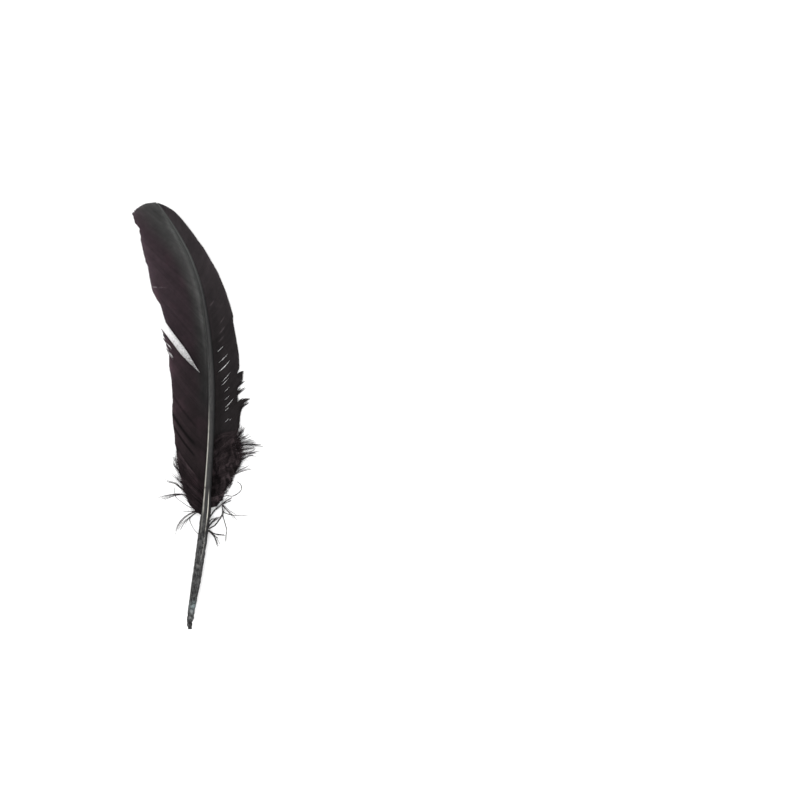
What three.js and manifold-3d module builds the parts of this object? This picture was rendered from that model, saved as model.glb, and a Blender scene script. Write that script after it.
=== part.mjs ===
// A dyed black turkey wing quill, lying on its back on a flat surface with the grooved side of its shaft up.
// Millimetres, +Z up. +Y runs from the quill's end to the top of the vanes, and +X points to the narrow vane.
// A feather is one shaft with a vane on each side of it, and a tuft of loose down below each vane.

import * as THREE from "three";
import { mergeVertices } from "three/addons/utils/BufferGeometryUtils.js";
import Module from "manifold-3d";

const wasm = await Module();
wasm.setup();

// Driving dimensions
const FEATHER_LENGTH = 290;
const VANE_THICKNESS = 0.9;
const VANE_EDGE_THICKNESS = 0.5;
const DOWN_THICKNESS = 1.8;
const PIECE_GAP = 0.35;

// How the feather lies: its back is flat on the surface between these two distances from the quill's end,
// and both ends curve up from there.
const FLAT_FROM = 118;
const FLAT_TO = 216;
const QUILL_LIFT = 3;
const TIP_LIFT = 5;

// Across a vane: it leaves the shaft above its back, comes down to the surface, and its rim curls up.
const ROOT_RISE = 0.36; // share of the shaft's width
const ROOT_REACH = 0.2; // share of a barb's length
const RIM_RISE = 0.075; // share of a barb's length
const RIM_FROM = 0.62; // share of a barb's length

// The shaft, by distance from the quill's end: its sideways place and its width.
const SHAFT_PLACE = [
  [0, -7.8],
  [12, -6.6],
  [47, -0.5],
  [88, 4.2],
  [138, 6.9],
  [180, 6.6],
  [224, 1.4],
  [251, -6.6],
  [270, -16.2],
  [FEATHER_LENGTH, -29],
];
const SHAFT_WIDTH = [
  [0, 2.6],
  [3.4, 2.9],
  [5, 3.7],
  [12, 4.2],
  [33, 5.8],
  [58, 6.5],
  [76, 6],
  [92, 4.9],
  [118, 4.2],
  [170, 3.9],
  [224, 2.8],
  [264, 1.9],
  [FEATHER_LENGTH, 0.7],
];
const SHAFT_RINGS = 42;
const SHAFT_SIDES = 16;
const UMBILICUS = 66; // where the groove starts, just under the down
const GROOVE_DEPTH = 0.3; // share of the shaft's width
const GROOVE_HALF_WIDTH = 0.45; // share of the half width

// The vanes, one row for each barb that shapes the rim: its root's distance from the quill's end,
// then the x and y of its tip.
const WIDE_RIM = [
  [98.6, -17.2, 125.8],
  [120.4, -18.8, 148.9],
  [139.4, -19.8, 170.7],
  [154.4, -21.9, 189.7],
  [165.2, -24.6, 205.4],
  [180.2, -27.6, 220.3],
  [193.1, -33.4, 234.6],
  [206, -36.6, 248.9],
  [229.2, -40, 264.5],
  [242.8, -43.2, 274],
  [256.4, -45.8, 282.9],
  [272, -39.9, 288.8],
  [288.6, -32.3, FEATHER_LENGTH],
];
const NARROW_RIM = [
  [120.4, 27.2, 139.4],
  [142.1, 26.9, 162.5],
  [154.4, 26.9, 176.1],
  [165.2, 26.2, 188.4],
  [180.2, 24.5, 200.6],
  [193.1, 22.1, 214.2],
  [206, 18.4, 226],
  [229.2, 9.5, 246.8],
  [242.8, 2.4, 258.7],
  [256.4, -6.1, 270.6],
  [272, -17.1, 283.9],
  [288.6, -28.4, FEATHER_LENGTH - 0.5],
];
const VANE_LOCKS = 21; // locks of barbs along each vane
const LOCK_RIDGE = 0.3;
const LOCK_NOTCH = 0.02; // share of a barb's length
const BARB_STOPS = [0, 0.1, 0.2, 0.4, 0.62, 0.82, 1]; // shares of a barb's length

// The down, in the same form as the vanes.
const LEFT_DOWN_RIM = [
  [75, -6.1, 82],
  [81.5, -10.9, 92],
  [86.5, -14.2, 102.7],
  [92, -16.3, 114],
  [97.2, -16.6, 123.6],
];
const RIGHT_DOWN_RIM = [
  [66.5, 8.8, 67.6],
  [78, 10.4, 81],
  [86, 15, 88.5],
  [95, 22.4, 103.4],
  [103, 28, 114],
  [111, 29.4, 125],
  [119, 27, 137.2],
];

// Barbs bow towards the quill on their way to the rim, by a share of their length.
const WIDE = { side: -1, rim: WIDE_RIM, bow: 0.015 };
const NARROW = { side: 1, rim: NARROW_RIM, bow: 0.09 };
const LEFT_DOWN = { side: -1, rim: LEFT_DOWN_RIM, bow: 0.015 };
const RIGHT_DOWN = { side: 1, rim: RIGHT_DOWN_RIM, bow: 0.09 };

// The long split in the wide vane, open at the rim.
const SPLIT = { root: 165.5, from: 0.24, widest: 0.68, width: 4.6 };

// The row of short slits in the narrow vane, closed at both ends.
const SLITS = { count: 10, first: 131, last: 187, width: 0.9 };

// Locks that have come loose at the rim of the narrow vane: root, then how far and which way the tip sticks out.
const LOOSE_LOCKS = [
  { root: 133, out: 8.6, turn: 46, width: 4 },
  { root: 142, out: 5.6, turn: 40, width: 2.4 },
  { root: 151, out: 4.4, turn: 12, width: 3.4 },
];

// Single barbs that stray out of the down: where they leave it, a point on the way, and the tip.
const LEFT_STRAYS = [
  [[-3, 86], [-16, 97], [-31.5, 88.5]],
  [[-3, 92], [-17, 101], [-27, 103]],
  [[-2.6, 79], [-10, 80], [-17.4, 64.5]],
  [[-2.4, 78.5], [-4.5, 76.5], [-5.4, 60]],
];
const RIGHT_STRAYS = [
  [[10, 96.5], [33, 90.5], [24.6, 100.4]],
  [[12, 112], [30, 112], [41.5, 123.5]],
  [[9, 82], [22, 84], [32, 76.6]],
  [[8, 78.5], [18, 80], [17, 57.5]],
  [[7.2, 69], [9, 68], [11.6, 54.5]],
];

// Small helpers

const unit = (x) => Math.min(1, Math.max(0, x));
const ease = (x) => unit(x) ** 2 * (3 - 2 * unit(x));
const mix = (a, b, t) => a + (b - a) * t;
const range = (count) => Array.from({ length: count }, (_, i) => i);

// A repeatable scatter between -1 and 1 for whole numbers.
function scatter(n) {
  const s = Math.sin(n * 12.9898 + 4.1) * 43758.5453;
  return 2 * (s - Math.floor(s)) - 1;
}

// A smooth function through [x, y] points, held level beyond both ends.
function curveThrough(points) {
  const last = points.length - 1;
  const slope = (i) => {
    const [x0, y0] = points[Math.max(i - 1, 0)];
    const [x1, y1] = points[Math.min(i + 1, last)];
    return (y1 - y0) / (x1 - x0);
  };
  return (at) => {
    const x = Math.min(points[last][0], Math.max(points[0][0], at));
    const i = Math.min(last - 1, Math.max(0, points.findIndex((p) => p[0] > x) - 1));
    const k = x >= points[last][0] ? last - 1 : i;
    const [xa, ya] = points[k];
    const [xb, yb] = points[k + 1];
    const t = (x - xa) / (xb - xa);
    const bend = (xb - xa) * t * (1 - t);
    return mix(ya, yb, ease(t)) + bend * (slope(k) * (1 - t) - slope(k + 1) * t);
  };
}

// A closed skin over rings of points, with both end rings filled.
function loft(rings) {
  const sides = rings[0].length;
  const index = [];
  const quad = (a, b, c, d) => index.push(a, b, c, a, c, d);
  for (let r = 0; r + 1 < rings.length; r++) {
    for (let k = 0; k < sides; k++) {
      const next = (k + 1) % sides;
      quad(r * sides + k, r * sides + next, (r + 1) * sides + next, (r + 1) * sides + k);
    }
  }
  const top = (rings.length - 1) * sides;
  for (let k = 0; k + 1 < sides / 2; k++) {
    const across = sides - 1 - k;
    quad(k, across, across - 1, k + 1);
    quad(top + k, top + k + 1, top + across - 1, top + across);
  }
  const skin = new THREE.BufferGeometry().setFromPoints(rings.flat());
  skin.setIndex(signedVolume(rings.flat(), index) < 0 ? index.reverse() : index);
  return skin;
}

function signedVolume(points, index) {
  let sum = 0;
  for (let i = 0; i < index.length; i += 3) {
    const [a, b, c] = [points[index[i]], points[index[i + 1]], points[index[i + 2]]];
    sum += a.dot(new THREE.Vector3().crossVectors(b, c)) / 6;
  }
  return sum;
}

function solidOf(geometry) {
  const bare = new THREE.BufferGeometry().setAttribute("position", geometry.getAttribute("position"));
  bare.setIndex(geometry.index);
  const welded = mergeVertices(bare, 1e-3);
  const triVerts = new Uint32Array(welded.index.array);
  return new wasm.Manifold(
    new wasm.Mesh({ numProp: 3, vertProperties: welded.attributes.position.array, triVerts }),
  );
}

function geometryOf(solid) {
  const { vertProperties, triVerts } = solid.getMesh();
  return new THREE.BufferGeometry()
    .setAttribute("position", new THREE.BufferAttribute(vertProperties, 3))
    .setIndex(new THREE.BufferAttribute(triVerts, 1));
}

// The lie of the feather

const shaftX = curveThrough(SHAFT_PLACE);
const shaftWidth = curveThrough(SHAFT_WIDTH);

// The unit direction across the shaft, towards +X.
function acrossShaft(y) {
  const step = 0.5;
  const run = shaftX(y + step) - shaftX(y - step);
  return new THREE.Vector2(2 * step, -run).normalize();
}

// Height of the feather's back above the surface.
function backHeight(y) {
  const towardsQuill = Math.max(0, FLAT_FROM - y) / FLAT_FROM;
  const towardsTip = Math.max(0, y - FLAT_TO) / (FEATHER_LENGTH - FLAT_TO);
  return QUILL_LIFT * towardsQuill ** 2 + TIP_LIFT * towardsTip ** 2;
}

// Shaft: a round quill that turns into a squarer, grooved rachis where the vanes begin

function shaftRing(y) {
  const width = shaftWidth(y);
  const across = acrossShaft(y);
  const rachis = ease((y - UMBILICUS) / 30);
  const corner = mix(1, 0.72, rachis);
  const groove = GROOVE_DEPTH * width * ease((y - UMBILICUS) / 12) * ease((FEATHER_LENGTH - y) / 40);
  const middle = backHeight(y) + width / 2;
  return range(SHAFT_SIDES).map((k) => {
    const angle = (2 * Math.PI * (k + 0.5)) / SHAFT_SIDES;
    const round = (c) => Math.sign(c) * Math.abs(c) ** corner;
    const sideways = (round(Math.cos(angle)) * width) / 2;
    const inGroove = angle < Math.PI && Math.abs(Math.cos(angle)) < GROOVE_HALF_WIDTH;
    const height = middle + (round(Math.sin(angle)) * width) / 2 - (inGroove ? groove : 0);
    return new THREE.Vector3(shaftX(y) + across.x * sideways, y + across.y * sideways, height);
  });
}

function shaftGeometry() {
  const crimp = [0, 1.2, 3.2, 5];
  const rest = range(SHAFT_RINGS).map((i) => mix(8, FEATHER_LENGTH - 0.4, i / (SHAFT_RINGS - 1)));
  return loft([...crimp, ...rest].map(shaftRing));
}

// Barbs: each runs from the side of the shaft to the rim, in a shallow bow

function barbLine(vane, root) {
  const tipX = curveThrough(vane.rim.map(([y, x]) => [y, x]))(root);
  const tipY = curveThrough(vane.rim.map(([y, , tip]) => [y, tip]))(root);
  const start = acrossShaft(root).multiplyScalar(vane.side * (shaftWidth(root) / 2 + PIECE_GAP));
  start.add(new THREE.Vector2(shaftX(root), root));
  const tip = new THREE.Vector2(tipX, tipY);
  const along = tip.clone().sub(start);
  const down = new THREE.Vector2(along.y, -along.x).multiplyScalar(vane.side);
  const middle = start.clone().lerp(tip, 0.5).addScaledVector(down, 2 * vane.bow);
  return new THREE.QuadraticBezierCurve(start, middle, tip);
}

// Height of the underside of a vane at a share of the way along a barb.
function vaneHeight(barb, share, root, y) {
  const rise = ROOT_RISE * shaftWidth(root) * Math.max(0, 1 - share / ROOT_REACH) ** 2;
  const length = barb.v0.distanceTo(barb.v2);
  const rim = RIM_RISE * length * Math.max(0, (share - RIM_FROM) / (1 - RIM_FROM)) ** 2;
  return backHeight(y) + rise + rim;
}

// A ring round one barb of a web: along its top to the rim, and back underneath.
function webRing(vane, root, thickness, ridge, reach) {
  const barb = barbLine(vane, root);
  const top = [];
  const bottom = [];
  for (const stop of BARB_STOPS) {
    const share = stop * reach;
    const { x, y } = barb.getPoint(share);
    const z = vaneHeight(barb, share, root, y);
    const swell = ridge * Math.sin(Math.PI * Math.min(stop, 0.8));
    top.push(new THREE.Vector3(x, y, z + swell + mix(thickness, VANE_EDGE_THICKNESS, stop)));
    bottom.push(new THREE.Vector3(x, y, z));
  }
  return [...top, ...bottom.reverse()];
}

// A web of barbs from the first root in the rim to the last, ridged and notched at every other barb.
function web(vane, locks, thickness) {
  const [first, last] = [vane.rim[0][0], vane.rim[vane.rim.length - 1][0]];
  const steps = 2 * locks;
  const rings = range(steps + 1).map((i) => {
    const root = mix(first, last, i / steps);
    const crest = i % 2 === 1;
    return webRing(vane, root, thickness, crest ? LOCK_RIDGE : 0, crest ? 1 : 1 - LOCK_NOTCH);
  });
  return solidOf(loft(rings));
}

// A cutter between two bowed lines on either side of a barb, open by openAt(share) millimetres.
function slitCutter(vane, root, from, to, openAt) {
  const barb = barbLine(vane, root);
  const steps = 8;
  const lips = [-1, 1].map((lip) =>
    range(steps + 1).map((i) => {
      const share = mix(from, to, i / steps);
      const { x, y } = barb.getPoint(share);
      const along = barb.getTangent(Math.min(share, 1));
      const half = (lip * openAt(share)) / 2;
      return new THREE.Vector2(x - along.y * half, y + along.x * half);
    }),
  );
  const outline = new THREE.Shape([...lips[0], ...lips[1].reverse().slice(1)]);
  const cutter = new THREE.ExtrudeGeometry(outline, { depth: 40, bevelEnabled: false });
  cutter.translate(0, 0, -10);
  return solidOf(cutter);
}

// A tapered lock that follows a curve, flat like a blade.
function lock(curve, width, thickness) {
  const steps = 4;
  const rings = range(steps + 1).map((i) => {
    const share = i / steps;
    const centre = curve.getPoint(share);
    const along = curve.getTangent(share);
    const aside = new THREE.Vector3(-along.y, along.x, 0).normalize();
    const taper = mix(1, 0.16, ease(share));
    const sideways = aside.multiplyScalar((width / 2) * taper);
    const up = new THREE.Vector3(0, 0, (thickness / 2) * taper);
    return [
      centre.clone().add(sideways),
      centre.clone().add(up),
      centre.clone().sub(sideways),
      centre.clone().sub(up),
    ];
  });
  return solidOf(loft(rings));
}

function wideVane() {
  const open = (share) => SPLIT.width * ease((share - SPLIT.from) / (SPLIT.widest - SPLIT.from));
  return web(WIDE, VANE_LOCKS, VANE_THICKNESS).subtract(
    slitCutter(WIDE, SPLIT.root, SPLIT.from, 1.08, (share) => 0.02 + open(share)),
  );
}

function narrowVane() {
  let vane = web(NARROW, VANE_LOCKS, VANE_THICKNESS);
  for (const loose of LOOSE_LOCKS) vane = vane.add(looseLock(loose));
  for (const i of range(SLITS.count)) {
    const share = i / (SLITS.count - 1);
    const root = mix(SLITS.first, SLITS.last, share) + 0.8 * scatter(i);
    const middle = mix(0.5, 0.28, share);
    const half = mix(0.1, 0.17, share) + 0.03 * scatter(i + 20);
    const open = (at) => 0.02 + SLITS.width * Math.max(0, 1 - ((at - middle) / half) ** 2);
    vane = vane.subtract(slitCutter(NARROW, root, middle - half, middle + half, open));
  }
  return vane;
}

function looseLock({ root, out, turn, width }) {
  const barb = barbLine(NARROW, root);
  const from = barb.getPoint(0.7);
  const bend = barb.getPoint(1);
  const way = barb.getTangent(1).rotateAround(new THREE.Vector2(), THREE.MathUtils.degToRad(-turn));
  const tip = bend.clone().addScaledVector(way, out);
  const height = (point, share) => vaneHeight(barb, share, root, point.y) + VANE_THICKNESS / 2;
  const curve = new THREE.QuadraticBezierCurve3(
    new THREE.Vector3(from.x, from.y, height(from, 0.7)),
    new THREE.Vector3(bend.x, bend.y, height(bend, 1)),
    new THREE.Vector3(tip.x, tip.y, height(tip, 1) + 0.6),
  );
  return lock(curve, width, VANE_THICKNESS);
}

// Down: a matted web close to the shaft, a fringe of soft locks round its rim, and a few stray barbs

function down(tuft, fringe, length, strays, seed) {
  const [first, last] = [tuft.rim[0][0], tuft.rim[tuft.rim.length - 1][0]];
  let solid = web(tuft, 6, DOWN_THICKNESS);
  for (const i of range(fringe)) {
    const root = mix(first, last - 3, i / (fringe - 1));
    const barb = barbLine(tuft, root);
    const from = barb.getPoint(0.5);
    const bend = barb.getPoint(0.9);
    const turn = tuft.side * (0.2 + 0.25 * scatter(seed + i));
    const way = barb.getTangent(1).rotateAround(new THREE.Vector2(), -turn);
    const tip = bend.clone().addScaledVector(way, length * (1 + 0.4 * scatter(seed + i + 50)));
    const base = vaneHeight(barb, 0.5, root, from.y) + DOWN_THICKNESS / 2;
    const curve = new THREE.QuadraticBezierCurve3(
      new THREE.Vector3(from.x, from.y, base),
      new THREE.Vector3(bend.x, bend.y, base + 1.2),
      new THREE.Vector3(tip.x, tip.y, base + 1 + 0.8 * scatter(seed + i + 90)),
    );
    solid = solid.add(lock(curve, 3.2, 1.8));
  }
  for (const stray of strays) solid = solid.add(strayBarb(stray));
  return solid;
}

function strayBarb([root, way, tip]) {
  const at = ([x, y], lift) => new THREE.Vector3(x, y, backHeight(y) + lift);
  return lock(new THREE.QuadraticBezierCurve3(at(root, 1.6), at(way, 2.6), at(tip, 1.2)), 1.5, 1.2);
}

// The feather

const horn = new THREE.MeshStandardMaterial({ color: 0x3a3a3a, roughness: 0.4, metalness: 0 });
const webbing = new THREE.MeshStandardMaterial({ color: 0x2c2629, roughness: 0.75, metalness: 0 });
const fluff = new THREE.MeshStandardMaterial({ color: 0x241f21, roughness: 0.95, metalness: 0 });

function piece(name, geometry, material) {
  const mesh = new THREE.Mesh(geometry, material);
  mesh.name = name;
  return mesh;
}

const feather = new THREE.Group();
feather.add(
  piece("shaft", shaftGeometry(), horn),
  piece("wide_vane", geometryOf(wideVane()), webbing),
  piece("narrow_vane", geometryOf(narrowVane()), webbing),
  piece("left_down", geometryOf(down(LEFT_DOWN, 9, 5.5, LEFT_STRAYS, 300)), fluff),
  piece("right_down", geometryOf(down(RIGHT_DOWN, 14, 7.5, RIGHT_STRAYS, 400)), fluff),
);

// The origin is on the surface, under the middle of the feather's box.
const box = new THREE.Box3().setFromObject(feather);
const middle = box.getCenter(new THREE.Vector3());
feather.position.set(-middle.x, -middle.y, -box.min.z);

const part = new THREE.Group();
part.add(feather);
export default part;
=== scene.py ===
# %% [markdown]
# # A dyed black wing feather
# A wing feather is a shaft of horn with a web of fine barbs on each side, and loose down where the webs
# begin. Its five solids are already here at their real size and place. Each one is now replaced by a mesh
# of what it stands for: the shaft by a grooved rod of horn, each vane by some hundreds of barbs, and each
# tuft of down by barbs that carry thousands of fine barbules.

# %% Load the solids
import math

import bmesh
import bpy
import numpy as np
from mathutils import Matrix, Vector, noise


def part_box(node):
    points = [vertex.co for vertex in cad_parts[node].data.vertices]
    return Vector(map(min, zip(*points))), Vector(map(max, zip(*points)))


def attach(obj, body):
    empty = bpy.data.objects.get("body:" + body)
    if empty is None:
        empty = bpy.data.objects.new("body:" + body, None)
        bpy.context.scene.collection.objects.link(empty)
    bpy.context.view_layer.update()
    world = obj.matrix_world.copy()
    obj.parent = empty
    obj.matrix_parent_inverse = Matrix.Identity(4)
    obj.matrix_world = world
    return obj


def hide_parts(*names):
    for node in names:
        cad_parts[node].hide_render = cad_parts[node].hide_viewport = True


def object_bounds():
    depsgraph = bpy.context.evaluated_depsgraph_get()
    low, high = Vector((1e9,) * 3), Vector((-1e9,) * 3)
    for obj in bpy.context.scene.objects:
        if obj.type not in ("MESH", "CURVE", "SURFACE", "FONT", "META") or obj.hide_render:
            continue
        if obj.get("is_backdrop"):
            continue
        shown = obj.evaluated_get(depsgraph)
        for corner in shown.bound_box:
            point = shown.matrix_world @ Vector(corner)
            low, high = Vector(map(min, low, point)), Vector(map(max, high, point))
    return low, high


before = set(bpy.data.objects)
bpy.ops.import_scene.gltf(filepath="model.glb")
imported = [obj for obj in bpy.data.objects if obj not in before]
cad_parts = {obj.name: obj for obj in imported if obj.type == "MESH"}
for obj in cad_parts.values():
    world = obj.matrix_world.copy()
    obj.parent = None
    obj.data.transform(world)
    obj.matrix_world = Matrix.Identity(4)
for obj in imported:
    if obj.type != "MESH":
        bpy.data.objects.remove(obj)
solid_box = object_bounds()
print("solids:", ", ".join(sorted(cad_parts)))

# %% [markdown]
# ## The feather's own measure
# A feather is easiest to describe in millimetres from the end of its quill: y runs along it, x points to
# the narrow vane, and z is the height above the surface that it lies on. One function turns these into
# the frame's metres, so every size below can be read with a ruler in hand.

# %% Millimetres along the feather
MM = 0.001
LENGTH = 290.0
ZERO = np.array([2.073, -145.011, 0.0])  # the zero of these measures, in the frame's millimetres


def in_frame(points):
    """Points in the feather's millimetres, as points of the frame."""
    return (np.asarray(points, float) + ZERO) * MM


quill_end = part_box("shaft")[0]
print("quill's end is at y =", round(quill_end.y / MM - ZERO[1], 2), "mm of the feather's measure")

# %% [markdown]
# ## Camera
# The feather lies flat and is seen from straight above, from about a metre and a half away. A long lens
# at that distance shows it nearly without perspective. The camera's height follows from the width in view.

# %% Camera
VIEW_WIDTH = 545.2
VIEW_CENTRE = (135.85, 155.7)
LENS = 100.0
SENSOR = 36.0
camera_height = VIEW_WIDTH * LENS / SENSOR

scene = bpy.context.scene
scene.view_settings.view_transform = "Standard"
camera = bpy.data.objects.new("camera", bpy.data.cameras.new("camera"))
camera.data.lens = LENS
camera.data.sensor_width = SENSOR
camera.location = in_frame((*VIEW_CENTRE, camera_height))
scene.collection.objects.link(camera)
scene.camera = camera
print("camera is", round(camera_height), "mm above the surface")

# %% [markdown]
# ## Shader sums
# A finish is a net of nodes, and a sum of nodes is easier to read as a formula. This class wraps one
# output socket. Arithmetic with it adds Math nodes, and one method adds any other node: its settings are
# set first, because they decide which sockets it has, and then its sockets get values or links.


# %% A socket that can be reckoned with
class Socket:
    """An output of one of a material's nodes."""

    def __init__(self, tree, output=None):
        self.tree = tree
        self.output = output

    def node(self, kind, settings=None, sockets=None, output=0):
        """Add a node, with its settings first and then its sockets, and wrap one of its outputs."""
        made = self.tree.nodes.new(kind)
        for name, value in (settings or {}).items():
            setattr(made, name, value)
        for name, value in (sockets or {}).items():
            if isinstance(value, Socket):
                self.tree.links.new(value.output, made.inputs[name])
            else:
                made.inputs[name].default_value = value
        return Socket(self.tree, made.outputs[output] if made.outputs else None)

    def math(self, operation, *values):
        return self.node("ShaderNodeMath", {"operation": operation}, dict(enumerate(values)))

    def __add__(self, other):
        return self.math("ADD", self, other)

    def __sub__(self, other):
        return self.math("SUBTRACT", self, other)

    def __rsub__(self, other):
        return self.math("SUBTRACT", other, self)

    def __mul__(self, other):
        return self.math("MULTIPLY", self, other)

    def __truediv__(self, other):
        return self.math("DIVIDE", self, other)

    __radd__ = __add__
    __rmul__ = __mul__

    def step(self, low, high):
        """A smooth step from 0 at low to 1 at high, which may be the smaller of the two."""
        settings = {"interpolation_type": "SMOOTHSTEP"}
        return self.node("ShaderNodeMapRange", settings, {"Value": self, "From Min": low, "From Max": high})

    def bump_at(self, centre, width):
        """A soft bump of height 1 around a value."""
        return self.math("EXPONENT", (self - centre) * (centre - self) / width**2)

    def mix(self, first, second):
        """This share of the second colour over the first."""
        sockets = {"Factor": self, 6: first, 7: second}
        return self.node("ShaderNodeMix", {"data_type": "RGBA"}, sockets, 2)

    def times(self, colour):
        """A colour made darker or lighter by this number."""
        settings = {"data_type": "RGBA", "blend_type": "MULTIPLY"}
        return self.node("ShaderNodeMix", settings, {"Factor": 1.0, 6: colour, 7: self}, 2)

    def attribute(self, name):
        """One of the mesh's own attributes."""
        return self.node("ShaderNodeAttribute", {"attribute_name": name}, output="Fac")

    def noise(self, scale, detail, **more):
        """Noise at this place: a larger scale makes it finer, and more detail makes it rougher."""
        sockets = {"Vector": self, "Scale": scale, "Detail": detail, **more}
        return self.node("ShaderNodeTexNoise", {}, sockets)


print("a socket has", ", ".join(name for name in vars(Socket) if not name.startswith("_")))

# %% Colours and finishes
OVER_LIGHT = 1.44


def srgb(red, green, blue):
    """A colour as a picture gives it, from 0 to 255, as the share of light that a shader works with.

    The picture is lit until its white sheet is brighter than white, so all colours are darker by as much.
    """
    shares = [c / 255 for c in (red, green, blue)]
    light = [c / 12.92 if c <= 0.04045 else ((c + 0.055) / 1.055) ** 2.4 for c in shares]
    return (*[c / OVER_LIGHT for c in light], 1.0)


def new_finish(name):
    """An empty material, and a socket to start its nodes from."""
    material = bpy.data.materials.new(name)
    material.use_nodes = True
    material.node_tree.nodes.clear()
    return material, Socket(material.node_tree)


def close_finish(start, sockets):
    """End a material's nodes in one surface shader."""
    shader = start.node("ShaderNodeBsdfPrincipled", {}, sockets)
    start.node("ShaderNodeOutputMaterial", {}, {"Surface": shader})


print("a grey of 70 is", round(srgb(70, 70, 70)[0], 3), "of the light")

# %% [markdown]
# ## Floor and light
# The floor is a plain white sheet. The sky is an even white, which fills every gap between the barbs. One
# broad soft lamp, high on the left, adds only a little, so that round forms have a lighter side. A strong
# lamp would throw a shadow on the sheet, and here there is next to none.

# %% Floor
FLOOR_SIZE = 6.0
PAPER_WHITE = (0.93, 0.93, 0.93, 1)
floor_mesh = bpy.data.meshes.new("floor")
sheet = bmesh.new()
bmesh.ops.create_grid(sheet, x_segments=1, y_segments=1, size=FLOOR_SIZE / 2)
sheet.to_mesh(floor_mesh)
sheet.free()
floor = bpy.data.objects.new("floor", floor_mesh)
scene.collection.objects.link(floor)
floor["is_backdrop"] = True

paper, paper_start = new_finish("white_paper")
close_finish(paper_start, {"Base Color": PAPER_WHITE, "Roughness": 0.9, "Specular IOR Level": 0.1})
floor_mesh.materials.append(paper)
print("floor", FLOOR_SIZE, "m across")

# %% Sky and lamp
SKY_STRENGTH = 1.54
LAMP_WATTS = 6.0
LAMP_PLACE = (-450.0, 380.0, 1150.0)
LAMP_SIZE = 1.6

scene.world = bpy.data.worlds.new("sky")
scene.world.use_nodes = True
background = scene.world.node_tree.nodes["Background"]
background.inputs["Color"].default_value = (1, 1, 1, 1)
background.inputs["Strength"].default_value = SKY_STRENGTH

lamp = bpy.data.objects.new("lamp", bpy.data.lights.new("lamp", "AREA"))
lamp.data.energy = LAMP_WATTS
lamp.data.size = LAMP_SIZE
lamp.location = in_frame(LAMP_PLACE)
lamp_aim = Vector(in_frame((0, LENGTH / 2, 0))) - lamp.location
lamp.rotation_euler = lamp_aim.to_track_quat("-Z", "Y").to_euler()
scene.collection.objects.link(lamp)
print("lamp is", round(lamp_aim.length, 2), "m from the feather")

# %% [markdown]
# ## The lie of the feather
# Everything hangs on the shaft, so its course comes first: how far it wanders sideways, how wide it is,
# and how its two ends curve up from the surface. The first two are smooth curves through a few points.


# %% The shaft's course
def ease(x):
    """A smooth step from 0 to 1."""
    x = np.clip(x, 0, 1)
    return x * x * (3 - 2 * x)


def curve_through(points):
    """A smooth function through (x, y) points, level beyond both ends."""
    xs, ys = np.array(points, float).T
    last = len(xs) - 1
    before = np.maximum(np.arange(last + 1) - 1, 0)
    after = np.minimum(np.arange(last + 1) + 1, last)
    slopes = (ys[after] - ys[before]) / (xs[after] - xs[before])

    def at(x):
        x = np.clip(x, xs[0], xs[-1])
        k = np.clip(np.searchsorted(xs, x, side="right") - 1, 0, last - 1)
        span = xs[k + 1] - xs[k]
        t = (x - xs[k]) / span
        bend = span * t * (1 - t) * (slopes[k] * (1 - t) - slopes[k + 1] * t)
        return ys[k] + (ys[k + 1] - ys[k]) * ease(t) + bend

    return at


shaft_x = curve_through([
    (0, -6.9), (4.8, -7.15), (7.5, -6.55), (12, -6.05), (26, -3.7), (47, -0.4), (76, 3.45), (82, 4.25),
    (88, 4.6), (138, 7.4), (180, 7.1), (224, 1.8), (251, -6.3), (270, -16), (LENGTH, -29),
])
shaft_width = curve_through([
    (0, 2.9), (4.8, 3.6), (7.5, 4.4), (12, 4.6), (24, 5.4), (33, 6), (58, 6.5), (68, 6.5), (76, 6.7),
    (82, 6.4), (92, 5.3), (118, 4.7), (170, 4.4), (224, 3.1), (264, 2.1), (LENGTH, 0.8),
])
FLAT_FROM = 118.0
FLAT_TO = 216.0
QUILL_LIFT = 3.0
TIP_LIFT = 5.0


def back_height(y):
    """Height of the feather's back above the surface."""
    towards_quill = np.maximum(0, FLAT_FROM - y) / FLAT_FROM
    towards_tip = np.maximum(0, y - FLAT_TO) / (LENGTH - FLAT_TO)
    return QUILL_LIFT * towards_quill**2 + TIP_LIFT * towards_tip**2


def across_shaft(y):
    """The unit direction across the shaft, towards the narrow vane."""
    step = 0.5
    run = shaft_x(y + step) - shaft_x(y - step)
    way = np.stack([np.full_like(run, 2 * step), -run], -1)
    return way / np.linalg.norm(way, axis=-1, keepdims=True)


QUILL_MIDDLE = 33.0
print("the quill is", round(float(shaft_width(QUILL_MIDDLE)), 1), "mm wide at its middle")

# %% [markdown]
# ## The shaft
# The quill is a round hollow tube with a crimped end. Where the down starts it turns into the rachis, which
# is squarer and has a groove along its upper side, between two ridges that run together at a small pit. A
# lathe can't make a section that changes like this, so a circle is extruded ring by ring, and each new ring
# is set to the section that belongs to its place. Every vertex carries its angle with it as it is extruded.

# %% The section at any place
PIT = 66.0
PIT_DEPTH = 0.14
RACHIS_RUN = 30.0
SQUARENESS = 0.28
GROOVE_END = 150.0
GROOVE_DEPTH = 0.13
RIDGE_HEIGHT = 0.05
RIDGE_SIDES = (-0.62, 0.52)
RIDGE_WIDTH = 0.16
SEAM_DEPTH = 0.13
SEAM_SIDE = -0.3
CRIMPS = ((1.4, -0.1), (2.8, 0.1), (4.5, -0.12), (7.6, 0.05), (9.4, -0.06))  # place and swelling
CRIMP_LENGTH = 0.8
DENT = 0.24
DENT_LENGTH = 2.6
DENT_TURN = 2.2
SURFACE_GAP = 0.03


def hump(x, centre, width):
    """A soft hump of height 1 round a value."""
    return math.exp(-(((x - centre) / width) ** 2))


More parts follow.
